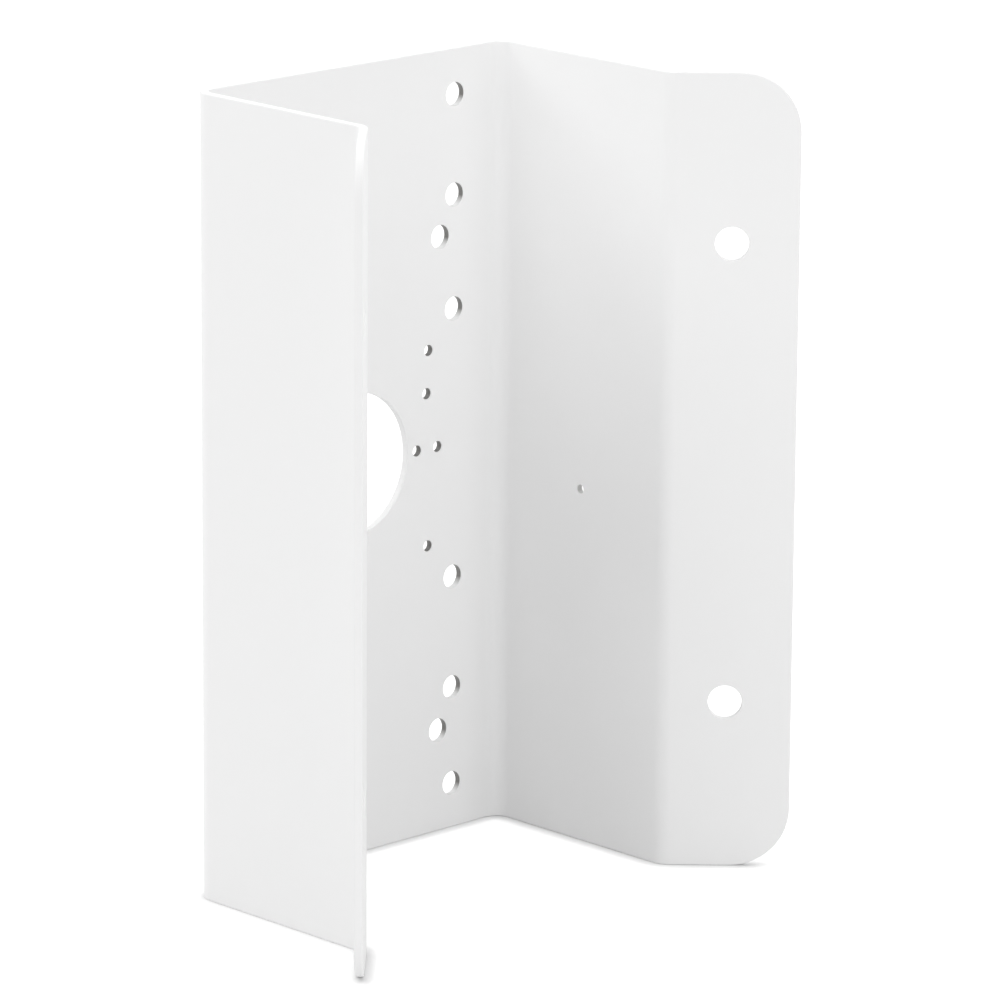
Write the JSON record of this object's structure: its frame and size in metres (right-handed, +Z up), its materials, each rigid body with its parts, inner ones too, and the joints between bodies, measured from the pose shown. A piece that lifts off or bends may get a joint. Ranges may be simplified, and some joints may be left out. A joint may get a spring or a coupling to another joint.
{
  "type": "camera corner mount bracket",
  "caption": "Folded sheet bracket that fixes a camera or junction box to an outside wall corner: a drilled plate, two arms and two splayed wall flanges.",
  "frame": {"origin": "centre of the cable hole on the plate's device face", "axes": "+Z up along the wall corner, -Y out of the plate towards the device, +Y towards the wall"},
  "size_m": [0.1838, 0.1032, 0.25],
  "materials": {
    "powder_coat": "satin powder coat"
  },
  "bodies": {
    "root": {"bracket": "powder_coat"}
  },
  "joints": []
}
